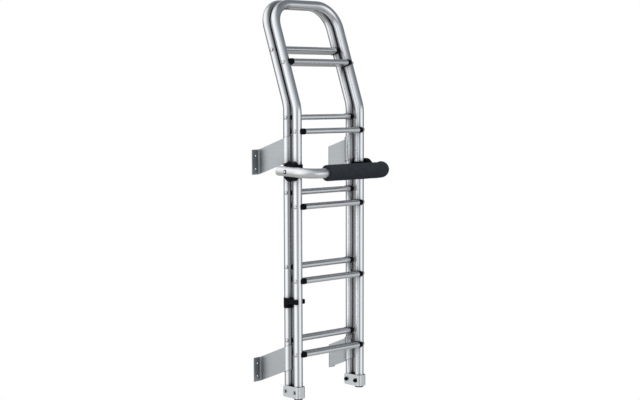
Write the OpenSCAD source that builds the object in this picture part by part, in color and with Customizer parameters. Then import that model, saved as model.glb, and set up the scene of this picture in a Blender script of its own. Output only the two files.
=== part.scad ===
// Double van ladder: a fixed section on four wall brackets and a second section
// that folds down about two hinges at its foot, with a padded bar on its rails.

/* [Rails] */
// Outside diameter of the rail tube
tube_d = 35; // [30:0.5:40]
// Distance between the two rail axes of a section
rail_spacing = 330; // [300:5:420]
// Distance from the fixed rails to the folding rails
section_gap = 50; // [50:1:60]
// Height of the fixed section's bend above the hinge
rear_bend_z = 1080; // [1075:1:1100]
// Height of the folding section's bend above the hinge
front_bend_z = 1070; // [1060:1:1075]
// Angle at which the top leans back to the wall
lean = 20; // [12:1:24]
// Bend radius at the foot of the lean
bend_r = 110; // [80:5:150]
// Height of the hoops' top axis above the hinge
hoop_top_z = 1459; // [1440:1:1520]
// Radius of the hoops' top corners
hoop_corner_r = 92; // [70:1:110]
// Length of the fixed rails below the hinge axis
rear_tail = 18; // [16:0.5:20]
// Length of the folding rails below the hinge axis
front_tail = 22; // [22:1:30]

/* [Rungs] */
// Depth of a rung from front to back
rung_depth = 42; // [36:0.5:43]
// Height of a rung
rung_height = 20; // [16:1:24]
// Rounding of the rung's edges
rung_round = 8.5; // [3:0.5:9]
// Distance from the rail's axis forward to the middle of the rungs
rung_forward = 5; // [2:0.5:6]
// Height of the lowest fixed rung's top above the hinge
rear_rung_z = 206; // [190:1:240]
// Height of the lowest folding rung's top above the hinge
front_rung_z = 155; // [140:1:185]
// Step from rung to rung
rung_pitch = 280; // [260:5:285]
// Distance along the lean from the hoop's top axis down to the fixed top rung
rear_top_rung_drop = 185.323; // [165:0.001:205]
// Distance along the lean from the hoop's top axis down to the folding top rung
front_top_rung_drop = 234.965; // [215:0.001:255]
// Number of grooves in the tread
groove_count = 5; // [3:1:7]
// Width of a tread groove
groove_w = 2; // [1:0.25:2.5]
// Depth of a tread groove
groove_h = 1.2; // [0.6:0.1:2]
// Length of the plastic cap between rung and rail
cap_reach = 4.5; // [4:0.5:12]
// Wall of the plastic cap round the rung
cap_wall = 1.2; // [0.8:0.1:1.6]
// Depth that a rung sits inside its cap
cap_pocket = 3; // [2:0.25:3.25]
// Radius at which the cap turns back to the front of the rail
cap_turn_r = 45; // [36:1:60]
// Diameter of the rivet heads on the rails
rivet_d = 14; // [10:0.5:18]
// Height of the rivet heads
rivet_h = 3; // [2:0.25:5]

/* [Wall brackets] */
// Distance from the fixed rails' axis to the wall
wall_gap = 145; // [120:1:200]
// Thickness of the bracket metal
bracket_t = 4; // [3:0.5:6]
// Height of a bracket
bracket_h = 94; // [84:1:110]
// Height of the lower brackets above the hinge
lower_bracket_z = 124; // [118:1:126]
// Height of the upper brackets above the hinge
upper_bracket_z = 913; // [900:1:920]
// Slope of the lower brackets down to the wall
lower_bracket_slope = 22; // [14:1:24]
// Slope of the upper brackets down to the wall
upper_bracket_slope = 18; // [14:1:24]
// Inside radius of the bend at the wall
bracket_bend_r = 6; // [4:0.5:10]
// Reach of the flange beyond the bracket's side
flange_w = 32; // [28:1:44]
// Distance from the bracket's side to the screw holes
hole_inset = 15; // [13:0.5:18]
// Distance between the two screw holes
hole_spacing = 50; // [40:1:60]
// Diameter of the screw holes
hole_d = 7; // [5:0.5:9]
// Diameter of the clamp screw heads
clamp_head_d = 10; // [8:0.5:12]
// Height of the clamp screw heads
clamp_head_h = 3; // [2:0.25:4]

/* [Hinges] */
// Thickness of the hinge plate
hinge_t = 3; // [2.5:0.25:4]
// Height of the hinge plate
hinge_h = 44; // [40:1:48]
// Length of the hinge plate behind the hinge axis
hinge_back = 13; // [10:0.5:18]
// Outside radius of the hinge plate's front corners
hinge_corner_r = 12; // [6:0.5:14]
// Rounding of the hinge plate's rear ends
hinge_end_r = 9; // [4:0.5:10]
// Gap between rail and hinge plate
hinge_gap = 0.5; // [0.3:0.1:1]
// Diameter of the hinge bolts
bolt_d = 8; // [6:0.5:10]
// Clearance of a bolt in its turning bore, on the radius
bolt_clear = 0.08; // [0.02:0.01:0.1]
// Diameter of the bolt heads
bolt_head_d = 13; // [11:0.5:16]
// Height of the bolt heads
bolt_head_h = 4; // [3:0.25:6]
// Diameter of the washers
washer_d = 16; // [14:1:20]
// Thickness of the washers
washer_t = 1.5; // [1:0.25:2]
// Diameter of the cap nuts
nut_d = 17; // [15:0.5:20]
// Height of the cap nuts
nut_h = 11; // [9:0.5:14]
// Height of the nuts' six flats
nut_flat_h = 5; // [4:0.5:7]
// Diameter of the nuts' domes
nut_dome_d = 14; // [12:0.5:15]
// Thickness of the plugs under the fixed rails
plug_h = 7; // [5:0.5:8]
// Thickness of the feet under the folding rails
foot_h = 6; // [4:0.5:8]

/* [Padded bar] */
// Outside diameter of the bar tube
bar_d = 37; // [34:1:38]
// Height of the bar's pivot above the hinge
bar_z = 838; // [820:1:850]
// Distance from the rail axis out to the bar's arm
arm_offset = 45; // [43:0.5:52]
// Distance from the pivot forward to the bar
bar_reach = 112; // [104:1:130]
// Length of the arms behind the pivot
arm_tail = 52; // [40:1:60]
// Bend radius of the bar
bar_bend_r = 66; // [45:1:72]
// Angle at which the bar droops in front
bar_droop = 2.2; // [0:0.1:4]
// Diameter of the foam grip
foam_d = 61; // [50:1:64]
// Distance from the middle of the ladder to the foam's left end
foam_left = 123; // [60:1:130]
// Angle of the right bend that the foam covers
foam_turn = 60; // [30:5:85]
// Diameter of the pivot discs
disc_d = 74; // [60:1:76]
// Thickness of the moving disc on the bar
disc_t = 15.5; // [11:0.5:17]
// Thickness of the fixed disc on the rail
fixed_disc_t = 5; // [3:0.5:5.5]
// Thickness of the moving disc's wall beside the arm
disc_web = 2; // [1.5:0.5:3]
// Diameter of the neck between rail and fixed disc
neck_d = 52; // [40:1:54]
// Gap between the fixed and the moving disc
disc_gap = 0.4; // [0.3:0.05:0.8]
// Height of the clamp band round the rail
band_h = 50; // [30:1:60]
// Wall of the clamp band
band_t = 3.5; // [2.5:0.25:5]
// Diameter of the pivot bolts
pivot_d = 10; // [8:0.5:12]
// Diameter of the pivot bolt heads
pivot_head_d = 17; // [14:0.5:20]
// Height of the pivot bolt heads
pivot_head_h = 4; // [3:0.25:6]
// Length of the domed plugs in the arm ends
arm_plug_h = 8; // [5:0.5:12]

/* [Snap clip] */
// Height of the clip's middle above the hinge
clip_z = 339.5; // [320:0.5:380]
// Height of the clip's collar
collar_h = 38; // [30:1:46]
// Wall of the clip's collar
collar_t = 2.5; // [2:0.25:4]
// Height of the clip's jaws
jaw_h = 18; // [14:1:26]
// Height of the jaws' middle above the collar's middle
jaw_rise = 8; // [0:0.5:9]
// Thickness of a jaw
jaw_t = 6; // [4:0.5:8]
// Radius of a jaw's front corners
jaw_corner_r = 4; // [2:0.5:6]
// Gap between a jaw and the folding rail
jaw_gap = 0.4; // [0.3:0.1:1]
// Reach of the outer jaw past the folding rail's axis
outer_jaw_reach = 22; // [12:1:26]
// Reach of the inner jaw past the folding rail's axis
inner_jaw_reach = 14; // [10:1:22]
// Length of the slope from collar height down to jaw height
jaw_slope = 14; // [6:1:20]

/* [Hidden] */

$fn = 64;
fit = 0.05; // seat clearance of a fixed piece on a round tube
head_skirt = 3; // depth of a domed head's skirt before its seat is cut
cut = 1; // length by which a cutter runs past what it cuts
rung_count = 5;
tube_r = tube_d / 2;
half_w = rail_spacing / 2;
front_y = -section_gap;
plate_x = half_w + tube_r + hinge_gap; // inner face of a hinge plate, from the ladder's middle
flange_x = half_w + tube_r + bracket_t; // outer side of a bracket
hole_x = flange_x + hole_inset;
arm_x = half_w + arm_offset;
disc_face = arm_x - bar_d / 2 - disc_web - disc_gap; // outer face of a fixed disc
pivot_y = front_y;
bar_y = -bar_reach;
section_y = [0, front_y];
bend_z = [rear_bend_z, front_bend_z];
first_rung_z = [rear_rung_z, front_rung_z];
lean_length = [for (z = bend_z) (hoop_top_z - z) / cos(lean)]; // from the bend to the top axis
top_rung = [lean_length[0] - rear_top_rung_drop, lean_length[1] - front_top_rung_drop];
rail_tail = [rear_tail, front_tail];
// The middle of the lower left flange's hole pattern lies at the origin
origin_drop = lower_bracket_z - wall_gap * tan(lower_bracket_slope);

silver = [0.78, 0.79, 0.81];
plate_grey = [0.66, 0.68, 0.69];
black = [0.07, 0.07, 0.08];
foam_grey = [0.17, 0.18, 0.21];
bright = [0.85, 0.86, 0.87];

// Moves the ladder's own frame so that the lower left flange carries the origin
module placed() {
    translate([hole_x, -wall_gap, -origin_drop]) children();
}

// Draws a piece on one side: -1 is left and 1 is right
module on_side(side) {
    mirror([side < 0 ? 1 : 0, 0, 0]) children();
}

module both_sides() {
    for (side = [-1, 1])
        on_side(side) children();
}

// A rod along +X from x0 to x1
module x_rod(d, x0, x1) {
    translate([x0, 0, 0]) rotate([0, 90, 0]) cylinder(d = d, h = x1 - x0);
}

// A round bar bent about the X axis through an angle, from +Z towards +Y
module lean_arc(d, angle) {
    rotate([90, 0, -90])
        rotate_extrude(angle = angle, $fn = 160)
            translate([bend_r, 0]) circle(d = d);
}

// The right half of a hoop, from its foot to the middle of its top
module half_hoop(s) {
    arc_leg = bend_r * tan(lean / 2);
    lean_l = lean_length[s];
    translate([half_w, section_y[s], 0]) {
        translate([0, 0, -rail_tail[s]]) cylinder(d = tube_d, h = bend_z[s] - arc_leg + rail_tail[s]);
        translate([0, bend_r, bend_z[s] - arc_leg]) lean_arc(tube_d, lean);
    }
    translate([0, section_y[s], bend_z[s]]) rotate([-lean, 0, 0]) {
        translate([half_w, 0, arc_leg]) cylinder(d = tube_d, h = lean_l - hoop_corner_r - arc_leg);
        translate([half_w - hoop_corner_r, 0, lean_l - hoop_corner_r])
            rotate([90, 0, 0])
                rotate_extrude(angle = 90, $fn = 160)
                    translate([hoop_corner_r, 0]) circle(d = tube_d);
        translate([0, 0, lean_l]) x_rod(tube_d, 0, half_w - hoop_corner_r);
    }
}

module hoop(s) {
    difference() {
        both_sides() half_hoop(s);
        // Bore for the hinge bolt
        translate([0, section_y[s], 0])
            x_rod(bolt_d + 2 * (s == 0 ? bolt_clear : fit), -half_w - tube_d, half_w + tube_d);
    }
}

// Places a piece where a rung's mid-height meets the rails' plane: 1 is the lowest and 5 the highest
module at_rung(s, k) {
    if (k < rung_count)
        translate([0, section_y[s], first_rung_z[s] + rung_pitch * (k - 1) - rung_height / 2]) children();
    else
        translate([0, section_y[s], bend_z[s]])
            rotate([-lean, 0, 0])
                translate([0, 0, top_rung[s]]) children();
}

// Outline of a rung or cap in the YZ plane, grown by a margin
module rung_outline(grow = 0) {
    w = rung_depth + 2 * grow;
    h = rung_height + 2 * grow;
    r = rung_round + grow;
    square([w - 2 * r, h], center = true);
    square([w, h - 2 * r], center = true);
    for (x = [-1, 1], y = [-1, 1])
        translate([x * (w / 2 - r), y * (h / 2 - r)]) circle(r = r);
}

// Section of a cap's turned front, from the turn's axis out to its rounded nose
module cap_turn_outline() {
    h = rung_height + 2 * cap_wall;
    r = rung_round + cap_wall;
    translate([0, -h / 2]) square([cap_turn_r - r, h]);
    translate([0, r - h / 2]) square([cap_turn_r, h - 2 * r]);
    for (z = [-1, 1])
        translate([cap_turn_r - r, z * (h / 2 - r)]) circle(r = r);
}

// Outline of a cap in the YZ plane, rounded at the back and left long at the front
module cap_outline() {
    back = rung_depth / 2 + cap_wall;
    h = rung_height + 2 * cap_wall;
    r = rung_round + cap_wall;
    translate([-rung_depth, -h / 2]) square([rung_depth + back - r, h]);
    translate([back - r, r - h / 2]) square([r, h - 2 * r]);
    for (z = [-1, 1])
        translate([back - r, z * (h / 2 - r)]) circle(r = r);
}

// Turns an outline in the YZ plane into a bar from x0 to x1
module x_bar(x0, x1) {
    translate([x0, 0, 0]) rotate([90, 0, 90]) linear_extrude(x1 - x0) children();
}

module rung(s, k) {
    end_x = half_w - tube_r - cap_reach + cap_pocket;
    flat = rung_depth - 2 * rung_round;
    step = flat / groove_count;
    at_rung(s, k)
        translate([0, -rung_forward, 0]) x_bar(-end_x, end_x)
            difference() {
                rung_outline();
                for (i = [0:groove_count - 1])
                    translate([(i + 0.5) * step - flat / 2 - groove_w / 2, rung_height / 2 - groove_h])
                        square([groove_w, groove_h + cut]);
            }
}

// A cap that straddles the right rail and takes the rung's end
module rung_cap() {
    inner_x = half_w - tube_r - cap_reach;
    nose_y = -rung_forward - rung_depth / 2 - cap_wall;
    difference() {
        intersection() {
            translate([0, -rung_forward, 0]) x_bar(inner_x, half_w) cap_outline();
            translate([inner_x, nose_y + cap_turn_r, 0])
                rotate_extrude($fn = 128)
                    cap_turn_outline();
        }
        translate([half_w, 0, 0]) cylinder(d = tube_d + 2 * fit, h = 4 * rung_height, center = true);
        translate([0, -rung_forward, 0]) x_bar(inner_x - cut, inner_x + cap_pocket) rung_outline(fit);
    }
}

module rung_caps(s) {
    for (k = [1:rung_count])
        at_rung(s, k) both_sides() rung_cap();
}

// A dome along +Z, with a skirt below it that a curved seat is cut from
module dome(d, h, skirt = 0) {
    r = (d * d / 4 + h * h) / (2 * h);
    rotate_extrude()
        intersection() {
            translate([0, h - r]) circle(r = r, $fn = 96);
            translate([0, -skirt]) square([d / 2, h + skirt]);
        }
}

// A domed head seated on the outer side of the right rail
module rivet() {
    difference() {
        translate([half_w + tube_r, -rung_forward, 0]) rotate([0, 90, 0]) dome(rivet_d, rivet_h, head_skirt);
        translate([half_w, 0, 0]) cylinder(d = tube_d + 2 * fit, h = 3 * rivet_d, center = true);
    }
}

module rivets(s) {
    for (k = [1:rung_count])
        at_rung(s, k) both_sides() rivet();
}

// Plan of a right bracket: a sleeve on the rail, a side and a flange on the wall
module bracket_plan() {
    side_x = half_w + tube_r;
    turn_y = wall_gap - bracket_t - bracket_bend_r;
    difference() {
        union() {
            translate([half_w, 0]) circle(r = tube_r + bracket_t);
            translate([side_x, 0]) square([bracket_t, turn_y]);
        }
        translate([half_w, 0]) circle(r = tube_r + fit);
    }
    translate([flange_x + bracket_bend_r, turn_y])
        intersection() {
            difference() {
                circle(r = bracket_bend_r + bracket_t);
                circle(r = bracket_bend_r);
            }
            translate([-bracket_bend_r - bracket_t, 0]) square(bracket_bend_r + bracket_t);
        }
    translate([flange_x + bracket_bend_r, wall_gap - bracket_t]) square([flange_w - bracket_bend_r, bracket_t]);
}

// A right bracket whose top and bottom slope down to the wall
module wall_bracket(z, slope) {
    translate([0, 0, z])
        difference() {
            intersection() {
                translate([0, 0, -2 * bracket_h]) linear_extrude(4 * bracket_h) bracket_plan();
                rotate([-slope, 0, 0])
                    translate([half_w, 0, 0])
                        cube([rail_spacing, 4 * wall_gap, bracket_h * cos(slope)], center = true);
            }
            for (dz = [-1, 1])
                translate([hole_x, wall_gap + cut, dz * hole_spacing / 2 - wall_gap * tan(slope)])
                    rotate([90, 0, 0]) cylinder(d = hole_d, h = bracket_t + 2 * cut);
        }
}

// Two button heads on the back of a right bracket's sleeve
module clamp_screws(z) {
    back_y = tube_r + bracket_t;
    for (dz = [-1, 1])
        translate([half_w, 0, z + dz * hole_spacing / 2])
            difference() {
                translate([0, back_y, 0]) rotate([-90, 0, 0]) dome(clamp_head_d, clamp_head_h, head_skirt);
                cylinder(r = back_y + fit, h = 2 * clamp_head_d, center = true);
            }
}

// Plan of a right hinge plate: a U round the folding rail, open to the back
module hinge_plan() {
    web_y = front_y - tube_r - hinge_gap;
    inner_r = hinge_corner_r - hinge_t;
    for (side = [-1, 1])
        translate([half_w, 0])
            mirror([side < 0 ? 1 : 0, 0]) {
                translate([tube_r + hinge_gap, web_y + inner_r])
                    square([hinge_t, hinge_back - web_y - inner_r]);
                translate([tube_r + hinge_gap - inner_r, web_y + inner_r])
                    intersection() {
                        difference() {
                            circle(r = hinge_corner_r);
                            circle(r = inner_r);
                        }
                        translate([0, -hinge_corner_r]) square(hinge_corner_r);
                    }
            }
    translate([half_w - tube_r - hinge_gap + inner_r, web_y - hinge_t])
        square([tube_d + 2 * hinge_gap - 2 * inner_r, hinge_t]);
}

// Side view of a hinge plate with rounded rear corners
module hinge_side() {
    front = front_y - tube_r - hinge_gap - hinge_t - cut;
    translate([front, -hinge_h / 2]) square([hinge_back - hinge_end_r - front, hinge_h]);
    translate([front, -hinge_h / 2 + hinge_end_r]) square([hinge_back - front, hinge_h - 2 * hinge_end_r]);
    for (dz = [-1, 1])
        translate([hinge_back - hinge_end_r, dz * (hinge_h / 2 - hinge_end_r)]) circle(r = hinge_end_r);
}

module hinge_bracket(side) {
    on_side(side)
        difference() {
            intersection() {
                translate([0, 0, -hinge_h / 2]) linear_extrude(hinge_h) hinge_plan();
                x_bar(half_w - tube_d, half_w + tube_d) hinge_side();
            }
            for (y = section_y)
                translate([0, y, 0]) x_rod(bolt_d + 2 * fit, half_w - tube_d - cut, half_w + tube_d + cut);
        }
}

// A bolt across a hinge, with a washer and a domed head on the outside
module hinge_bolt() {
    out_x = plate_x + hinge_t;
    in_x = half_w - tube_r - hinge_gap - hinge_t;
    x_rod(bolt_d, in_x - nut_h / 2, out_x + washer_t);
    x_rod(washer_d, out_x, out_x + washer_t);
    translate([out_x + washer_t, 0, 0]) rotate([0, 90, 0]) dome(bolt_head_d, bolt_head_h);
}

// A hexagonal cap nut with a dome on the inner side of a hinge
module cap_nut() {
    in_x = half_w - tube_r - hinge_gap - hinge_t;
    difference() {
        union() {
            translate([in_x - nut_flat_h, 0, 0]) rotate([0, 90, 0]) cylinder(d = nut_d, h = nut_flat_h, $fn = 6);
            translate([in_x - nut_flat_h, 0, 0]) rotate([0, -90, 0]) dome(nut_dome_d, nut_h - nut_flat_h);
        }
        x_rod(bolt_d + 2 * fit, in_x - nut_h / 2 - fit, in_x + cut);
    }
}

// A plug that closes a tube's lower end, rounded underneath
module end_plug(h, round_r) {
    rotate_extrude()
        difference() {
            translate([0, -h]) square([tube_r, h]);
            translate([tube_r - round_r, -h])
                difference() {
                    square(round_r);
                    translate([0, round_r]) circle(r = round_r);
                }
        }
}

// A fixed pivot disc and its band on the right rail
module bar_clamp(side) {
    on_side(side)
        translate([half_w, pivot_y, bar_z])
            difference() {
                union() {
                    translate([-half_w, 0, 0]) {
                        x_rod(neck_d, half_w + tube_r / 3, disc_face);
                        x_rod(disc_d, disc_face - fixed_disc_t, disc_face);
                    }
                    cylinder(r = tube_r + band_t, h = band_h, center = true);
                }
                cylinder(d = tube_d + 2 * fit, h = 2 * disc_d, center = true);
                translate([-half_w, 0, 0]) x_rod(pivot_d + 2 * bolt_clear, half_w, disc_face + cut);
            }
}

// Carries a piece of the bar from the pivot's frame to its rest position
module on_bar() {
    translate([0, pivot_y, bar_z]) rotate([bar_droop, 0, 0]) children();
}

// The right half of the bar's path as a round bar, from x0 along the front to an arm's end
module bar_half(d, x0, arm_y) {
    translate([0, bar_y, 0]) x_rod(d, x0, arm_x - bar_bend_r);
    translate([arm_x - bar_bend_r, bar_y + bar_bend_r, 0])
        rotate([0, 0, -90])
            rotate_extrude(angle = 90, $fn = 160)
                translate([bar_bend_r, 0]) circle(d = d);
    translate([arm_x, bar_y + bar_bend_r, 0]) rotate([-90, 0, 0]) cylinder(d = d, h = arm_y - bar_y - bar_bend_r);
}

module bar_tube() {
    difference() {
        both_sides() bar_half(bar_d, 0, arm_tail);
        x_rod(pivot_d + 2 * fit, -arm_x - bar_d, arm_x + bar_d);
    }
}

module foam() {
    difference() {
        union() {
            translate([0, bar_y, 0]) x_rod(foam_d, -foam_left, arm_x - bar_bend_r);
            translate([arm_x - bar_bend_r, bar_y + bar_bend_r, 0])
                rotate([0, 0, -90])
                    rotate_extrude(angle = foam_turn, $fn = 160)
                        translate([bar_bend_r, 0]) circle(d = foam_d);
        }
        union() {
            bar_half(bar_d + 2 * fit, 0, 0);
            translate([0, bar_y, 0]) x_rod(bar_d + 2 * fit, -foam_left - cut, 0);
        }
    }
}

// The moving disc between the fixed disc and the right arm
module bar_disc() {
    difference() {
        x_rod(disc_d, disc_face + disc_gap, disc_face + disc_gap + disc_t);
        translate([arm_x, 0, 0]) rotate([90, 0, 0]) cylinder(d = bar_d + 2 * fit, h = 2 * disc_d, center = true);
        x_rod(pivot_d + 2 * fit, half_w, arm_x);
    }
}

module pivot_bolt() {
    head_x = arm_x + bar_d / 2;
    x_rod(pivot_d, half_w + tube_r + 1, head_x - 1);
    difference() {
        translate([head_x, 0, 0]) rotate([0, 90, 0]) dome(pivot_head_d, pivot_head_h, head_skirt);
        translate([arm_x, 0, 0]) rotate([90, 0, 0]) cylinder(d = bar_d + 2 * fit, h = 2 * disc_d, center = true);
    }
}

module bar_end_plug() {
    translate([arm_x, arm_tail, 0]) rotate([-90, 0, 0]) dome(bar_d, arm_plug_h);
}

// Side view of a jaw: full height at the collar, a slope, then a straight run with round corners
module jaw_side(reach) {
    end = front_y - reach;
    slope_end = -tube_r / 2 - jaw_slope;
    polygon([[0, -collar_h / 2], [-tube_r / 2, -collar_h / 2], [slope_end, jaw_rise - jaw_h / 2],
        [slope_end, jaw_rise + jaw_h / 2], [-tube_r / 2, collar_h / 2], [0, collar_h / 2]]);
    translate([0, jaw_rise]) {
        translate([end + jaw_corner_r, -jaw_h / 2]) square([slope_end - end - jaw_corner_r + fit, jaw_h]);
        translate([end, jaw_corner_r - jaw_h / 2]) square([slope_end - end, jaw_h - 2 * jaw_corner_r]);
        for (z = [-1, 1])
            translate([end + jaw_corner_r, z * (jaw_h / 2 - jaw_corner_r)]) circle(r = jaw_corner_r);
    }
}

// A collar on the left fixed rail with two jaws along the folding rail
module clip_body() {
    jaw_x = tube_r + jaw_gap;
    translate([-half_w, 0, clip_z])
        difference() {
            union() {
                cylinder(r = tube_r + collar_t, h = collar_h, center = true);
                x_bar(-jaw_x - jaw_t, -jaw_x) jaw_side(outer_jaw_reach);
                x_bar(jaw_x, jaw_x + jaw_t) jaw_side(inner_jaw_reach);
            }
            cylinder(d = tube_d + 2 * fit, h = 2 * collar_h, center = true);
        }
}

module rear_hoop() { placed() color(silver) hoop(0); }
module front_hoop() { placed() color(silver) hoop(1); }
module rear_rung(k) { placed() color(silver) rung(0, k); }
module front_rung(k) { placed() color(silver) rung(1, k); }
module rear_rung_caps() { placed() color(black) rung_caps(0); }
module front_rung_caps() { placed() color(black) rung_caps(1); }
module rear_rivets() { placed() color(bright) rivets(0); }
module front_rivets() { placed() color(bright) rivets(1); }
module rear_end_plugs() {
    placed() color(black) both_sides() translate([half_w, 0, -rear_tail]) end_plug(plug_h, plug_h);
}
module front_feet() {
    placed() color(black) both_sides() translate([half_w, front_y, -front_tail]) end_plug(foot_h, 2);
}
module wall_bracket_lower(side) {
    placed() color(plate_grey) on_side(side) wall_bracket(lower_bracket_z, lower_bracket_slope);
}
module wall_bracket_upper(side) {
    placed() color(plate_grey) on_side(side) wall_bracket(upper_bracket_z, upper_bracket_slope);
}
module bracket_screws() {
    placed() color(bright) both_sides() {
        clamp_screws(lower_bracket_z);
        clamp_screws(upper_bracket_z);
    }
}
module snap_clip() { placed() color(black) clip_body(); }
module hinge_plate(side) { placed() color(plate_grey) hinge_bracket(side); }
module hinge_bolts(side) {
    placed() color(bright) on_side(side)
        for (y = section_y)
            translate([0, y, 0]) hinge_bolt();
}
module cap_nuts() {
    placed() color(black) both_sides()
        for (y = section_y)
            translate([0, y, 0]) cap_nut();
}
module clamp(side) { placed() color(black) bar_clamp(side); }
module padded_bar() { placed() color(silver) on_bar() bar_tube(); }
module foam_grip() { placed() color(foam_grey) on_bar() foam(); }
module moving_disc(side) { placed() color(black) on_bar() on_side(side) bar_disc(); }
module bar_end_plugs() { placed() color(plate_grey) on_bar() both_sides() bar_end_plug(); }
module pivot_bolts() { placed() color(bright) on_bar() both_sides() pivot_bolt(); }

rear_hoop();
rear_rung(1);  // rear_rung_1
rear_rung(2);  // rear_rung_2
rear_rung(3);  // rear_rung_3
rear_rung(4);  // rear_rung_4
rear_rung(5);  // rear_rung_5
rear_rung_caps();
rear_rivets();
rear_end_plugs();
wall_bracket_lower(-1);  // wall_bracket_lower_left
wall_bracket_lower(1);  // wall_bracket_lower_right
wall_bracket_upper(-1);  // wall_bracket_upper_left
wall_bracket_upper(1);  // wall_bracket_upper_right
bracket_screws();
snap_clip();
front_hoop();
front_rung(1);  // front_rung_1
front_rung(2);  // front_rung_2
front_rung(3);  // front_rung_3
front_rung(4);  // front_rung_4
front_rung(5);  // front_rung_5
front_rung_caps();
front_rivets();
front_feet();
hinge_plate(-1);  // hinge_bracket_left
hinge_plate(1);  // hinge_bracket_right
hinge_bolts(-1);  // hinge_bolts_left
hinge_bolts(1);  // hinge_bolts_right
cap_nuts();
clamp(-1);  // bar_clamp_left
clamp(1);  // bar_clamp_right
padded_bar();
foam_grip();
moving_disc(-1);  // bar_disc_left
moving_disc(1);  // bar_disc_right
bar_end_plugs();
pivot_bolts();
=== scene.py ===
import math
import bpy
import bmesh
from mathutils import Matrix, Vector, noise


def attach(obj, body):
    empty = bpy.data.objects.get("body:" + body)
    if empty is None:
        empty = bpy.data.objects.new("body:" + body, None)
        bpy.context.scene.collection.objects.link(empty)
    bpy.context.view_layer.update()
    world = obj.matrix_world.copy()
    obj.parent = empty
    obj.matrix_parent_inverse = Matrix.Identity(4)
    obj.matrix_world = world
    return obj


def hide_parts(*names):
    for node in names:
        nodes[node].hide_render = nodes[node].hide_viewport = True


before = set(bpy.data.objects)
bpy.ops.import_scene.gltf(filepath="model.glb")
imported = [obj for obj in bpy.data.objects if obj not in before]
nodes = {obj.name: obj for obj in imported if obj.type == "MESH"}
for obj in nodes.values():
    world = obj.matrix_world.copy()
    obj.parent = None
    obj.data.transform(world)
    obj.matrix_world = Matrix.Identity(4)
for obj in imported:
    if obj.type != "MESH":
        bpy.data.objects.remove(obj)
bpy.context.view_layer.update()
print("solids loaded:", len(nodes))

ladderAt = Vector((0.2015, -0.145, -0.06542))  # the ladder's middle at the hinge bolts, in metres


# The camera of the photo, in metres and degrees.
cameraView = {
    "place": (-3.4976, -3.9709, 1.0647),
    "azimuth": -44.03,
    "elevation": 7.39,
    "roll": -0.16,
    "lens": 78.14,
    "sensor": 36,
    "shift": 0.1127,
    "clipEnd": 200,
}


def makeCamera(view):
    a = math.radians(view["azimuth"])
    e = math.radians(view["elevation"])
    r = math.radians(view["roll"])
    back = Vector((math.sin(a) * math.cos(e), -math.cos(a) * math.cos(e), math.sin(e)))
    right = Vector((0, 0, 1)).cross(back).normalized()
    up = back.cross(right)
    turnedRight = right * math.cos(r) + up * math.sin(r)
    turnedUp = up * math.cos(r) - right * math.sin(r)
    data = bpy.data.cameras.new("photoCamera")
    data.lens = view["lens"]
    data.sensor_width = view["sensor"]
    data.shift_y = view["shift"]
    data.clip_end = view["clipEnd"]
    camera = bpy.data.objects.new("photoCamera", data)
    bpy.context.scene.collection.objects.link(camera)
    turn = Matrix((turnedRight, turnedUp, back)).transposed().to_4x4()
    camera.matrix_world = Matrix.Translation(Vector(view["place"])) @ turn
    bpy.context.scene.camera = camera
    return camera


makeCamera(cameraView)
print("camera placed")


# Panels are listed as degrees round from the camera, plus to the right, then brightness.
studio = {
    "fill": 0.78,  # what plain surfaces get from all round
    "levelPanels": [(-180, 0.1), (-140, 0.1), (-118, 0.28), (-96, 0.85), (-68, 1.2), (-38, 1.2),
                    (-16, 0.6), (2, 0.34), (18, 0.4), (36, 1.0), (62, 1.15), (84, 0.78), (104, 0.36),
                    (130, 0.12), (180, 0.1)],
    "highPanels": [(-180, 0.3), (-150, 0.5), (-120, 1.05), (-60, 1.15), (-30, 0.95), (0, 0.72),
                   (30, 0.42), (60, 0.28), (90, 0.22), (130, 0.18), (180, 0.3)],
    "heightShade": [(0.0, 0.35), (0.2, 0.42), (0.34, 0.85), (0.42, 1.0), (0.9, 1.0), (1.0, 0.6)],
    "highFrom": 0.06,  # upward share of a ray's direction
    "highTo": 0.42,
    "keyPower": 60,
    "keySize": 2.4,
    "keyPlace": (-1.6, -3.4, 3.4),
    "keyAim": (0.2, -0.15, 0.7),
    "floorHeight": -1.62,  # clear of the section when it is folded down
    "floorWidth": 9,
    "floorColour": (0.5, 0.5, 0.5, 1),
    "floorGlow": 0.64,  # lifts the floor to white in the picture alone
}


def linkedNode(tree, kind, **settings):
    node = tree.nodes.new(kind)
    for name, value in settings.items():
        setattr(node, name, value)
    return node


def fillRamp(ramp, stops):
    elements = ramp.color_ramp.elements
    while len(elements) > 1:
        elements.remove(elements[-1])
    for i, (where, value) in enumerate(stops):
        colour = (value, value, value, 1) if isinstance(value, (int, float)) else (*value, 1)
        if i == 0:
            elements[0].position = where
            elements[0].color = colour
        else:
            elements.new(where).color = colour


# The dimmer a panel is, the bluer it looks.
def coolTone(v):
    t = max(0.0, 1 - v / 1.1)
    return (v * (0.985 - 0.12 * t), v * (0.995 - 0.015 * t), v * (1.01 + 0.08 * t))


def panelRamp(tree, panels):
    ramp = linkedNode(tree, "ShaderNodeValToRGB")
    fillRamp(ramp, [((degrees + 180) / 360, coolTone(v)) for degrees, v in panels])
    return ramp


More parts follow.
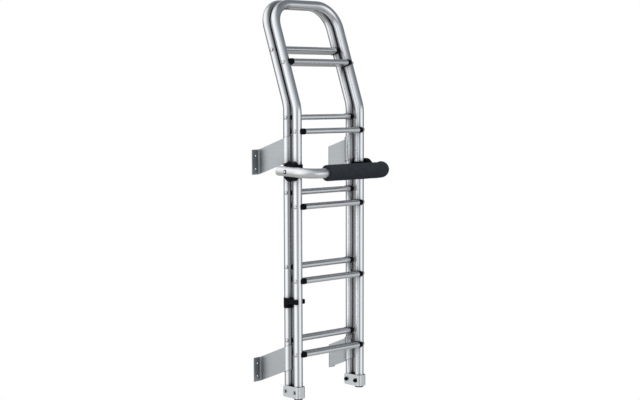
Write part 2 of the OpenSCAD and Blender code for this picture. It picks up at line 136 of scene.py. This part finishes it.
def makeWorld(s):
    world = bpy.data.worlds.new("whiteStudio")
    bpy.context.scene.world = world
    world.use_nodes = True
    tree = world.node_tree
    tree.nodes.clear()
    out = linkedNode(tree, "ShaderNodeOutputWorld")
    coord = linkedNode(tree, "ShaderNodeTexCoord")
    turn = linkedNode(tree, "ShaderNodeMapping", vector_type="POINT")
    turn.inputs["Rotation"].default_value = (0, 0, -math.radians(cameraView["azimuth"]))
    axes = linkedNode(tree, "ShaderNodeSeparateXYZ")
    flip = linkedNode(tree, "ShaderNodeMath", operation="MULTIPLY")
    flip.inputs[1].default_value = -1
    angle = linkedNode(tree, "ShaderNodeMath", operation="ARCTAN2")
    around = linkedNode(tree, "ShaderNodeMath", operation="MULTIPLY_ADD")  # 0 to 1 round the ladder
    around.inputs[1].default_value = 1 / (2 * math.pi)
    around.inputs[2].default_value = 0.5
    level = panelRamp(tree, s["levelPanels"])
    high = panelRamp(tree, s["highPanels"])
    climb = linkedNode(tree, "ShaderNodeMapRange", interpolation_type="SMOOTHSTEP")
    climb.inputs["From Min"].default_value = s["highFrom"]
    climb.inputs["From Max"].default_value = s["highTo"]
    height = linkedNode(tree, "ShaderNodeMath", operation="MULTIPLY_ADD")
    height.inputs[1].default_value = 0.5
    height.inputs[2].default_value = 0.5
    shade = linkedNode(tree, "ShaderNodeValToRGB")
    fillRamp(shade, s["heightShade"])
    walls = linkedNode(tree, "ShaderNodeMixRGB")
    seen = linkedNode(tree, "ShaderNodeMixRGB", blend_type="MULTIPLY")
    seen.inputs[0].default_value = 1
    tree.links.new(coord.outputs["Generated"], turn.inputs["Vector"])
    tree.links.new(turn.outputs["Vector"], axes.inputs[0])
    tree.links.new(axes.outputs["Y"], flip.inputs[0])
    tree.links.new(axes.outputs["X"], angle.inputs[0])
    tree.links.new(flip.outputs[0], angle.inputs[1])
    tree.links.new(angle.outputs[0], around.inputs[0])
    tree.links.new(around.outputs[0], level.inputs[0])
    tree.links.new(around.outputs[0], high.inputs[0])
    tree.links.new(axes.outputs["Z"], climb.inputs["Value"])
    tree.links.new(axes.outputs["Z"], height.inputs[0])
    tree.links.new(height.outputs[0], shade.inputs[0])
    tree.links.new(climb.outputs[0], walls.inputs[0])
    tree.links.new(level.outputs[0], walls.inputs[1])
    tree.links.new(high.outputs[0], walls.inputs[2])
    tree.links.new(walls.outputs[0], seen.inputs[1])
    tree.links.new(shade.outputs[0], seen.inputs[2])
    fill = linkedNode(tree, "ShaderNodeBackground")
    fill.inputs["Color"].default_value = (1, 1, 1, 1)
    fill.inputs["Strength"].default_value = s["fill"]
    mirror = linkedNode(tree, "ShaderNodeBackground")
    tree.links.new(seen.outputs[0], mirror.inputs["Color"])
    white = linkedNode(tree, "ShaderNodeBackground")
    white.inputs["Color"].default_value = (1, 1, 1, 1)
    path = linkedNode(tree, "ShaderNodeLightPath")
    glossy = linkedNode(tree, "ShaderNodeMixShader")
    camera = linkedNode(tree, "ShaderNodeMixShader")
    seenThrough = linkedNode(tree, "ShaderNodeMath", operation="MAXIMUM")
    tree.links.new(path.outputs["Is Glossy Ray"], glossy.inputs[0])
    tree.links.new(fill.outputs[0], glossy.inputs[1])
    tree.links.new(mirror.outputs[0], glossy.inputs[2])
    tree.links.new(path.outputs["Is Camera Ray"], seenThrough.inputs[0])
    tree.links.new(path.outputs["Is Transmission Ray"], seenThrough.inputs[1])
    tree.links.new(seenThrough.outputs[0], camera.inputs[0])
    tree.links.new(glossy.outputs[0], camera.inputs[1])
    tree.links.new(white.outputs[0], camera.inputs[2])
    tree.links.new(camera.outputs[0], out.inputs["Surface"])


def makeKeyLight(s):
    data = bpy.data.lights.new("softKey", "AREA")
    data.shape = "SQUARE"
    data.size = s["keySize"]
    data.energy = s["keyPower"]
    lamp = bpy.data.objects.new("softKey", data)
    bpy.context.scene.collection.objects.link(lamp)
    lamp.location = s["keyPlace"]
    lamp.rotation_euler = (lamp.location - Vector(s["keyAim"])).to_track_quat("Z", "Y").to_euler()
    lamp.visible_camera = False
    lamp.visible_glossy = False


def makeFloor(s):
    mesh = bpy.data.meshes.new("paleFloor")
    w = s["floorWidth"] / 2
    z = s["floorHeight"]
    mesh.from_pydata([(-w, -w, z), (w, -w, z), (w, w, z), (-w, w, z)], [], [(0, 1, 2, 3)])
    floor = bpy.data.objects.new("paleFloor", mesh)
    bpy.context.scene.collection.objects.link(floor)
    material = bpy.data.materials.new("paleFloor")
    material.use_nodes = True
    tree = material.node_tree
    tree.nodes.clear()
    out = linkedNode(tree, "ShaderNodeOutputMaterial")
    matt = linkedNode(tree, "ShaderNodeBsdfDiffuse")
    matt.inputs["Color"].default_value = s["floorColour"]
    white = linkedNode(tree, "ShaderNodeEmission")
    path = linkedNode(tree, "ShaderNodeLightPath")
    share = linkedNode(tree, "ShaderNodeMath", operation="MULTIPLY")
    share.inputs[1].default_value = s["floorGlow"]
    mix = linkedNode(tree, "ShaderNodeAddShader")
    tree.links.new(path.outputs["Is Camera Ray"], share.inputs[0])
    tree.links.new(share.outputs[0], white.inputs["Strength"])
    tree.links.new(matt.outputs[0], mix.inputs[0])
    tree.links.new(white.outputs[0], mix.inputs[1])
    tree.links.new(mix.outputs[0], out.inputs["Surface"])
    mesh.materials.append(material)


bpy.context.scene.view_settings.view_transform = "Standard"
makeWorld(studio)
makeKeyLight(studio)
makeFloor(studio)
print("studio lit")


def startFinish(name, colour, metallic, roughness):
    material = bpy.data.materials.new(name)
    material.use_nodes = True
    tree = material.node_tree
    shader = tree.nodes["Principled BSDF"]
    shader.inputs["Base Color"].default_value = (*colour, 1)
    shader.inputs["Metallic"].default_value = metallic
    shader.inputs["Roughness"].default_value = roughness
    coord = linkedNode(tree, "ShaderNodeTexCoord")
    return material, tree, shader, coord


# Noise on the object's own coordinates, stretched by a scale for each axis.
def grain(tree, coord, scale, detail):
    stretch = linkedNode(tree, "ShaderNodeMapping")
    stretch.inputs["Scale"].default_value = scale
    speckle = linkedNode(tree, "ShaderNodeTexNoise")
    speckle.inputs["Scale"].default_value = 1
    speckle.inputs["Detail"].default_value = detail
    tree.links.new(coord.outputs["Object"], stretch.inputs["Vector"])
    tree.links.new(stretch.outputs["Vector"], speckle.inputs["Vector"])
    return speckle.outputs["Fac"]


noiseLow, noiseHigh = 0.3, 0.7  # where nearly all of the noise lies


def between(tree, factor, low, high):
    ramp = linkedNode(tree, "ShaderNodeValToRGB")
    fillRamp(ramp, [(noiseLow, low), (noiseHigh, high)])
    tree.links.new(factor, ramp.inputs[0])
    return ramp.outputs[0]


def spread(tree, factor, low, high):
    reach = linkedNode(tree, "ShaderNodeMapRange")
    reach.inputs["From Min"].default_value = noiseLow
    reach.inputs["From Max"].default_value = noiseHigh
    reach.inputs["To Min"].default_value = low
    reach.inputs["To Max"].default_value = high
    tree.links.new(factor, reach.inputs["Value"])
    return reach.outputs[0]


def addBump(tree, shader, factor, depth):
    bump = linkedNode(tree, "ShaderNodeBump")
    bump.inputs["Distance"].default_value = depth
    bump.inputs["Strength"].default_value = 1
    tree.links.new(factor, bump.inputs["Height"])
    tree.links.new(bump.outputs[0], shader.inputs["Normal"])


# Painted shade: darkens a colour where another piece stands close.
def paintShadeNear(tree, colour, reach, darkest):
    close = linkedNode(tree, "ShaderNodeAmbientOcclusion", samples=12)
    close.inputs["Distance"].default_value = reach
    fall = linkedNode(tree, "ShaderNodeMapRange")
    fall.inputs["From Min"].default_value = 0.45
    fall.inputs["From Max"].default_value = 0.95
    fall.inputs["To Min"].default_value = darkest
    shadedColour = linkedNode(tree, "ShaderNodeMixRGB", blend_type="MULTIPLY")
    shadedColour.inputs[0].default_value = 1
    tree.links.new(close.outputs["AO"], fall.inputs["Value"])
    tree.links.new(colour, shadedColour.inputs[1])
    tree.links.new(fall.outputs[0], shadedColour.inputs[2])
    return shadedColour.outputs[0]


def brushedFinish(name, dark, light, metallic, roughness, streaks, bump=0.000005, shadeReach=0):
    material, tree, shader, coord = startFinish(name, light, metallic, roughness)
    lines = grain(tree, coord, streaks, 4)
    result = between(tree, lines, dark, light)
    # Painted shade where another piece stands close, when a reach is given.
    if shadeReach:
        result = paintShadeNear(tree, result, shadeReach, 0.33)
    tree.links.new(result, shader.inputs["Base Color"])
    tree.links.new(spread(tree, lines, roughness - 0.03, roughness + 0.04), shader.inputs["Roughness"])
    addBump(tree, shader, lines, bump)
    return material


def plateFinish(name, dark, light, sleeve, flangeShade):
    material, tree, shader, coord = startFinish(name, light, 0.9, 0.4)
    lines = grain(tree, coord, (12, 12, 400), 4)
    axes = linkedNode(tree, "ShaderNodeSeparateXYZ")
    tree.links.new(coord.outputs["Object"], axes.inputs[0])
    # Painted shade on the flange at the wall: the colour is multiplied darker there.
    flangeShadeMask = linkedNode(tree, "ShaderNodeMapRange")
    flangeShadeMask.inputs["From Min"].default_value = -0.010
    flangeShadeMask.inputs["From Max"].default_value = -0.004
    onSleeve = linkedNode(tree, "ShaderNodeMapRange")  # the round part about the rail is polished
    onSleeve.inputs["From Min"].default_value = -0.146
    onSleeve.inputs["From Max"].default_value = -0.150
    tree.links.new(axes.outputs["Y"], flangeShadeMask.inputs["Value"])
    tree.links.new(axes.outputs["Y"], onSleeve.inputs["Value"])
    flangeShading = linkedNode(tree, "ShaderNodeMixRGB", blend_type="MULTIPLY")
    flangeShading.inputs[2].default_value = (*flangeShade, 1)
    tree.links.new(flangeShadeMask.outputs[0], flangeShading.inputs[0])
    tree.links.new(between(tree, lines, dark, light), flangeShading.inputs[1])
    band = linkedNode(tree, "ShaderNodeMixRGB")
    band.inputs[2].default_value = (*sleeve, 1)
    tree.links.new(onSleeve.outputs[0], band.inputs[0])
    tree.links.new(flangeShading.outputs[0], band.inputs[1])
    # Painted shade where another piece stands close, over the plate and its sleeve.
    tree.links.new(paintShadeNear(tree, band.outputs[0], 0.06, 0.4), shader.inputs["Base Color"])
    rough = linkedNode(tree, "ShaderNodeMapRange")
    rough.inputs["To Min"].default_value = 0.41
    rough.inputs["To Max"].default_value = 0.2
    tree.links.new(onSleeve.outputs[0], rough.inputs["Value"])
    tree.links.new(rough.outputs[0], shader.inputs["Roughness"])
    addBump(tree, shader, lines, 0.00001)
    return material


# A domed head whose face looks along X, with painted shade darkening its rim.
def headFinish(name, face, rimShade, roughness):
    material, tree, shader, coord = startFinish(name, face, 1.0, roughness)
    turned = grain(tree, coord, (500, 500, 500), 3)
    form = linkedNode(tree, "ShaderNodeNewGeometry")
    axes = linkedNode(tree, "ShaderNodeSeparateXYZ")
    size = linkedNode(tree, "ShaderNodeMath", operation="ABSOLUTE")
    flatness = linkedNode(tree, "ShaderNodeMapRange")
    flatness.inputs["From Min"].default_value = 0.89
    flatness.inputs["From Max"].default_value = 0.94
    tree.links.new(form.outputs["Normal"], axes.inputs[0])
    tree.links.new(axes.outputs["X"], size.inputs[0])
    tree.links.new(size.outputs[0], flatness.inputs["Value"])
    mix = linkedNode(tree, "ShaderNodeMixRGB")
    tree.links.new(flatness.outputs[0], mix.inputs[0])
    mix.inputs[1].default_value = (*rimShade, 1)
    tree.links.new(between(tree, turned, [c * 0.92 for c in face], face), mix.inputs[2])
    tree.links.new(mix.outputs[0], shader.inputs["Base Color"])
    tree.links.new(spread(tree, turned, roughness - 0.04, roughness + 0.06), shader.inputs["Roughness"])
    return material


# Where the surface faces up, a darker colour that is painted shade, with random wear in it and a
# rougher surface.
def treadFinish(name, body, treadShade, roughness):
    material, tree, shader, coord = startFinish(name, body, 1.0, roughness)
    lines = grain(tree, coord, (18, 900, 900), 4)
    wear = grain(tree, coord, (60, 220, 220), 5)
    form = linkedNode(tree, "ShaderNodeNewGeometry")
    axes = linkedNode(tree, "ShaderNodeSeparateXYZ")
    up = linkedNode(tree, "ShaderNodeMapRange")
    up.inputs["From Min"].default_value = 0.55
    up.inputs["From Max"].default_value = 0.93
    tree.links.new(form.outputs["Normal"], axes.inputs[0])
    tree.links.new(axes.outputs["Z"], up.inputs["Value"])
    # Painted shade: the upward faces take the darker colour.
    top = between(tree, wear, [c * 0.8 for c in treadShade], [c * 1.2 for c in treadShade])
    side = between(tree, lines, [c * 0.93 for c in body], body)
    mix = linkedNode(tree, "ShaderNodeMixRGB")
    tree.links.new(up.outputs[0], mix.inputs[0])
    tree.links.new(side, mix.inputs[1])
    tree.links.new(top, mix.inputs[2])
    tree.links.new(mix.outputs[0], shader.inputs["Base Color"])
    rough = linkedNode(tree, "ShaderNodeMapRange")
    rough.inputs["To Min"].default_value = roughness
    rough.inputs["To Max"].default_value = 0.5
    tree.links.new(up.outputs[0], rough.inputs["Value"])
    tree.links.new(rough.outputs[0], shader.inputs["Roughness"])
    addBump(tree, shader, lines, 0.00003)
    return material


def plasticFinish(name, colour, roughness, shine=0.2):
    material, tree, shader, coord = startFinish(name, colour, 0.0, roughness)
    shader.inputs["Specular IOR Level"].default_value = shine
    mould = grain(tree, coord, (900, 900, 900), 2)
    haze = grain(tree, coord, (60, 60, 60), 3)
    pale = [c * 1.7 + 0.002 for c in colour]
    tree.links.new(between(tree, haze, colour, pale), shader.inputs["Base Color"])
    tree.links.new(spread(tree, haze, roughness - 0.06, roughness + 0.08), shader.inputs["Roughness"])
    addBump(tree, shader, mould, 0.00006)
    return material


def foamFinish(name, dark, light):
    material, tree, shader, coord = startFinish(name, dark, 0.0, 0.86)
    pores = grain(tree, coord, (900, 900, 900), 2)
    patches = grain(tree, coord, (130, 130, 130), 4)
    tree.links.new(between(tree, patches, dark, light), shader.inputs["Base Color"])
    shader.inputs["Specular IOR Level"].default_value = 0.2
    height = linkedNode(tree, "ShaderNodeMath", operation="ADD")
    tree.links.new(pores, height.inputs[0])
    tree.links.new(patches, height.inputs[1])
    addBump(tree, shader, height.outputs[0], 0.0006)
    return material


finish = {
    # The rail's colour carries painted shade where the other section's rails stand close.
    "rail": brushedFinish("satinRail", (0.82, 0.83, 0.845), (0.86, 0.865, 0.875), 1.0, 0.2,
                          (500, 500, 5), shadeReach=0.06),
    "bar": brushedFinish("satinBar", (0.85, 0.855, 0.86), (0.89, 0.893, 0.9), 1.0, 0.36,
                         (60, 60, 60), bump=0),
    "rung": treadFinish("ribbedRung", (0.82, 0.83, 0.845), (0.66, 0.67, 0.69), 0.24),
    # The last colour is the painted shade on the flange at the wall.
    "plate": plateFinish("mattPlate", (0.54, 0.565, 0.575), (0.60, 0.62, 0.63), (0.85, 0.855, 0.865),
                         (0.66, 0.69, 0.71)),
    "hinge": brushedFinish("pressedHinge", (0.72, 0.75, 0.76), (0.82, 0.85, 0.86), 0.9, 0.36,
                           (260, 260, 260)),
    "bright": brushedFinish("brightSteel", (0.80, 0.80, 0.81), (0.88, 0.88, 0.89), 1.0, 0.16,
                            (400, 400, 400)),
    "bolt": headFinish("boltHead", (0.90, 0.90, 0.91), (0.08, 0.085, 0.09), 0.18),
    "black": plasticFinish("blackPlastic", (0.002, 0.0034, 0.0044), 0.34, 0.06),
    "plug": plasticFinish("greyPlug", (0.36, 0.37, 0.38), 0.42),
    "foam": foamFinish("closedFoam", (0.019, 0.024, 0.031), (0.030, 0.037, 0.046)),
}

finishOf = {
    "rear_hoop": "rail", "front_hoop": "rail", "padded_bar": "bar",
    "rear_rung_caps": "black", "front_rung_caps": "black", "rear_end_plugs": "black",
    "front_feet": "black", "snap_clip": "black", "bar_clamp_left": "black", "bar_clamp_right": "black",
    "bar_disc_left": "black", "bar_disc_right": "black", "cap_nuts": "black",
    "bar_end_plugs": "plug", "pivot_bolts": "bolt", "hinge_bolts_left": "bolt",
    "hinge_bolts_right": "bolt", "hinge_bracket_left": "hinge", "hinge_bracket_right": "hinge",
    "rear_rivets": "bright", "front_rivets": "bright", "bracket_screws": "bright",
    "wall_bracket_lower_left": "plate", "wall_bracket_lower_right": "plate",
    "wall_bracket_upper_left": "plate", "wall_bracket_upper_right": "plate", "foam_grip": "foam",
}
for k in range(1, 6):
    finishOf["rear_rung_%d" % k] = "rung"
    finishOf["front_rung_%d" % k] = "rung"

for name, piece in nodes.items():
    if not piece.material_slots:
        piece.data.materials.append(None)
    for slot in piece.material_slots:
        slot.material = finish[finishOf[name]]
print("finishes on", len(finishOf), "solids")


# The foam grip, laid out flat about the bar's pivot and then tipped by the bar's droop.
foamSleeve = {
    "radius": 0.0303,
    "bore": 0.01856,
    "left": -0.123,
    "front": -0.112,
    "armX": 0.210,
    "bend": 0.066,
    "turn": 60,
    "droop": 2.2,
    "pivot": (0, -0.050, 0.838),
    "edge": 0.004,
    "step": 0.005,
    "around": 56,
    "lipDepth": 0.001,
    "lipFlare": 0.0012,
    "swells": ((40, 0.00035), (140, 0.00018)),  # unevenness: how fine, then how deep
}


# Places along the bar's axis, each with its direction and the length up to it.
def foamPath(f):
    cornerX = f["armX"] - f["bend"]
    cornerY = f["front"] + f["bend"]
    straight = cornerX - f["left"]
    total = straight + f["bend"] * math.radians(f["turn"])
    count = round(total / f["step"])
    frames = []
    for i in range(count + 1):
        s = total * i / count
        t = max(0.0, s - straight) / f["bend"]
        x = f["left"] + s if s <= straight else cornerX + f["bend"] * math.sin(t)
        place = Vector((x, cornerY - f["bend"] * math.cos(t), 0))
        frames.append((place, Vector((math.cos(t), math.sin(t), 0)), s))
    return frames, total


def makeFoam(f):
    frames, total = foamPath(f)
    mesh = bmesh.new()
    rings = []
    tip = Matrix.Rotation(math.radians(f["droop"]), 4, "X")
    seat = Matrix.Translation(ladderAt + Vector(f["pivot"])) @ tip

    def ring(place, along, radius, rough):
        side = along.cross(Vector((0, 0, 1))).normalized()
        verts = []
        for j in range(f["around"]):
            a = 2 * math.pi * j / f["around"]
            out = side * math.cos(a) + Vector((0, 0, 1)) * math.sin(a)
            spot = place + out * radius
            if rough:
                spot += out * sum(noise.noise(spot * fine) * deep for fine, deep in f["swells"])
            verts.append(mesh.verts.new(seat @ spot))
        rings.append(verts)

    # One end's rings, from the bore's lip over the end face and round the edge.
    def endRings(place, along, inward):
        e = f["edge"]
        rows = []
        for t in (0.0, 0.35, 1.0):
            rows.append((f["lipDepth"] * (1 - t), f["bore"] + f["lipFlare"] * t))
        rows.append((0.0, (f["bore"] + f["radius"] - e) / 2))
        for t in (0, 22.5, 45, 67.5):
            a = math.radians(t)
            rows.append((e * (1 - math.cos(a)), f["radius"] - e * (1 - math.sin(a))))
        return [(place + along * inward * depth, along, radius) for depth, radius in rows]

    firstPlace, firstAlong, _ = frames[0]
    lastPlace, lastAlong, _ = frames[-1]
    for place, along, radius in endRings(firstPlace, firstAlong, 1):
        ring(place, along, radius, False)
    for place, along, s in frames:
        if f["edge"] < s < total - f["edge"]:
            ring(place, along, f["radius"], True)
    for place, along, radius in reversed(endRings(lastPlace, lastAlong, -1)):
        ring(place, along, radius, False)
    for place, along, _ in reversed(frames[2:-2]):  # the bore, and so a closed ring of rings
        ring(place, along, f["bore"], False)
    rings.append(rings[0])
    n = f["around"]
    for a, b in zip(rings, rings[1:]):
        for j in range(n):
            mesh.faces.new((a[j], a[(j + 1) % n], b[(j + 1) % n], b[j]))
    bmesh.ops.recalc_face_normals(mesh, faces=mesh.faces)
    data = bpy.data.meshes.new("foamSleeve")
    mesh.to_mesh(data)
    mesh.free()
    data.polygons.foreach_set("use_smooth", [True] * len(data.polygons))
    sleeve = bpy.data.objects.new("foamSleeve", data)
    bpy.context.scene.collection.objects.link(sleeve)
    data.materials.append(finish["foam"])
    return sleeve


sleeve = makeFoam(foamSleeve)
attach(sleeve, "bar")
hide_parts("foam_grip")
print("foam sleeve made:", len(sleeve.data.polygons), "faces")


# Where the rungs stand, as in the part's source, for the heads on the rails beside them.
rungPlan = {
    "firstRear": 0.206,  # tops of the lowest rungs above the hinge bolts
    "firstFront": 0.155,
    "pitch": 0.280,
    "halfHeight": 0.010,
    "rearY": 0.0,
    "frontY": -0.050,
    "rearBend": 1.080,
    "frontBend": 1.070,
    "lean": 20,
    "rearTop": 0.218,
    "frontTop": 0.179,
    "forward": 0.005,
    "railFace": 0.1825,
}
rungHead = {
    "Head Diameter": 0.014,
    "Head Height": 0.003,
    "Skirt": 0.005,
    "Pin Diameter": 0.0042,
    "Pin Height": 0.0003,
}
sleeveHead = {
    "Head Diameter": 0.010,
    "Head Height": 0.003,
    "Skirt": 0.003,
    "Pin Diameter": 0.0046,
    "Pin Height": 0.0,
}
sleeveScrews = {"heights": (0.124, 0.913), "apart": 0.050, "railX": 0.165, "backY": 0.0215}


pinDepth = 0.002
pinSunk = 0.0011  # from the head's top down to the pin's middle


def makeHeadTree():
    tree = bpy.data.node_groups.new("buttonHeads", "GeometryNodeTree")
    tree.interface.new_socket("Places", in_out="INPUT", socket_type="NodeSocketGeometry")
    for name in rungHead:
        tree.interface.new_socket(name, in_out="INPUT", socket_type="NodeSocketFloat")
    tree.interface.new_socket("Finish", in_out="INPUT", socket_type="NodeSocketMaterial")
    tree.interface.new_socket("Heads", in_out="OUTPUT", socket_type="NodeSocketGeometry")
    given = linkedNode(tree, "NodeGroupInput")
    done = linkedNode(tree, "NodeGroupOutput")

    def times(name, factor):
        node = linkedNode(tree, "ShaderNodeMath", operation="MULTIPLY")
        node.inputs[1].default_value = factor
        tree.links.new(given.outputs[name], node.inputs[0])
        return node.outputs[0]

    def vector(x=None, y=None, z=None):
        node = linkedNode(tree, "ShaderNodeCombineXYZ")
        for i, value in enumerate((x, y, z)):
            if value is not None:
                tree.links.new(value, node.inputs[i])
        return node.outputs[0]

    def moved(mesh, shift=None, scale=None):
        node = linkedNode(tree, "GeometryNodeTransform")
        tree.links.new(mesh, node.inputs["Geometry"])
        if shift is not None:
            tree.links.new(shift, node.inputs["Translation"])
        if scale is not None:
            tree.links.new(scale, node.inputs["Scale"])
        return node.outputs[0]

    ball = linkedNode(tree, "GeometryNodeMeshUVSphere")
    ball.inputs["Segments"].default_value = 40
    ball.inputs["Rings"].default_value = 20
    ball.inputs["Radius"].default_value = 1
    wide = times("Head Diameter", 0.5)
    dome = moved(ball.outputs["Mesh"], scale=vector(wide, wide, given.outputs["Head Height"]))
    skirt = linkedNode(tree, "GeometryNodeMeshCylinder")
    skirt.inputs["Vertices"].default_value = 40
    tree.links.new(wide, skirt.inputs["Radius"])
    tree.links.new(given.outputs["Skirt"], skirt.inputs["Depth"])
    base = moved(skirt.outputs["Mesh"], shift=vector(z=times("Skirt", -0.5)))
    pin = linkedNode(tree, "GeometryNodeMeshCylinder")
    pin.inputs["Vertices"].default_value = 20
    pin.inputs["Depth"].default_value = pinDepth
    tree.links.new(times("Pin Diameter", 0.5), pin.inputs["Radius"])
    rise = linkedNode(tree, "ShaderNodeMath", operation="ADD")
    rise.inputs[1].default_value = -pinSunk
    top = linkedNode(tree, "ShaderNodeMath", operation="ADD")
    tree.links.new(given.outputs["Head Height"], rise.inputs[0])
    tree.links.new(rise.outputs[0], top.inputs[0])
    tree.links.new(given.outputs["Pin Height"], top.inputs[1])
    stud = moved(pin.outputs["Mesh"], shift=vector(z=top.outputs[0]))
    smooth = linkedNode(tree, "GeometryNodeSetShadeSmooth")
    tree.links.new(dome, smooth.inputs["Geometry"])
    join = linkedNode(tree, "GeometryNodeJoinGeometry")
    for part in (smooth.outputs[0], base, stud):
        tree.links.new(part, join.inputs[0])
    facing = linkedNode(tree, "GeometryNodeInputNamedAttribute", data_type="FLOAT_VECTOR")
    facing.inputs["Name"].default_value = "facing"
    turn = linkedNode(tree, "FunctionNodeAlignRotationToVector", axis="Z")
    tree.links.new(facing.outputs["Attribute"], turn.inputs["Vector"])
    place = linkedNode(tree, "GeometryNodeInstanceOnPoints")
    tree.links.new(given.outputs["Places"], place.inputs["Points"])
    tree.links.new(join.outputs[0], place.inputs["Instance"])
    tree.links.new(turn.outputs[0], place.inputs["Rotation"])
    real = linkedNode(tree, "GeometryNodeRealizeInstances")
    tree.links.new(place.outputs[0], real.inputs[0])
    paint = linkedNode(tree, "GeometryNodeSetMaterial")
    tree.links.new(real.outputs[0], paint.inputs["Geometry"])
    tree.links.new(given.outputs["Finish"], paint.inputs["Material"])
    tree.links.new(paint.outputs[0], done.inputs[0])
    return tree


headTree = makeHeadTree()


def placeHeads(name, places, sizes, material):
    points = bpy.data.meshes.new(name + "Places")
    points.from_pydata([spot + ladderAt for spot, _ in places], [], [])
    facing = points.attributes.new("facing", "FLOAT_VECTOR", "POINT")
    facing.data.foreach_set("vector", [v for _, out in places for v in out])
    holder = bpy.data.objects.new(name + "Places", points)
    bpy.context.scene.collection.objects.link(holder)
    modifier = holder.modifiers.new("heads", "NODES")
    modifier.node_group = headTree
    for item in headTree.interface.items_tree:
        if item.in_out == "INPUT" and item.name in sizes:
            modifier[item.identifier] = sizes[item.name]
        if item.in_out == "INPUT" and item.name == "Finish":
            modifier[item.identifier] = material
    ready = holder.evaluated_get(bpy.context.evaluated_depsgraph_get())
    mesh = bpy.data.meshes.new_from_object(ready)
    holder.modifiers.remove(modifier)
    bpy.data.objects.remove(holder)
    heads = bpy.data.objects.new(name, mesh)
    bpy.context.scene.collection.objects.link(heads)
    return heads


def rungEnds(p, side):
    spots = []
    a = math.radians(p["lean"])
    for k in range(5):
        if k < 4:
            y = p[side + "Y"] - p["forward"]
            z = p["first" + side.capitalize()] + p["pitch"] * k - p["halfHeight"]
        else:
            top = p[side + "Top"]
            y = p[side + "Y"] - p["forward"] * math.cos(a) + top * math.sin(a)
            z = p[side + "Bend"] + p["forward"] * math.sin(a) + top * math.cos(a)
        for x in (-1, 1):
            spots.append((Vector((x * p["railFace"], y, z)), (x, 0, 0)))
    return spots


def sleeveBacks(p):
    spots = []
    for z in p["heights"]:
        for dz in (-0.5, 0.5):
            for x in (-1, 1):
                spots.append((Vector((x * p["railX"], p["backY"], z + dz * p["apart"])), (0, 1, 0)))
    return spots


rearHeads = placeHeads("rearRungHeads", rungEnds(rungPlan, "rear"), rungHead, finish["bright"])
frontHeads = placeHeads("frontRungHeads", rungEnds(rungPlan, "front"), rungHead, finish["bright"])
sleeveHeads = placeHeads("sleeveScrewHeads", sleeveBacks(sleeveScrews), sleeveHead, finish["bright"])
for heads, body, solid in ((rearHeads, "fixed_section", "rear_rivets"),
                           (frontHeads, "folding_section", "front_rivets"),
                           (sleeveHeads, "fixed_section", "bracket_screws")):
    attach(heads, body)
    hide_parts(solid)
print("button heads placed:", len(rearHeads.data.vertices) + len(frontHeads.data.vertices), "points")
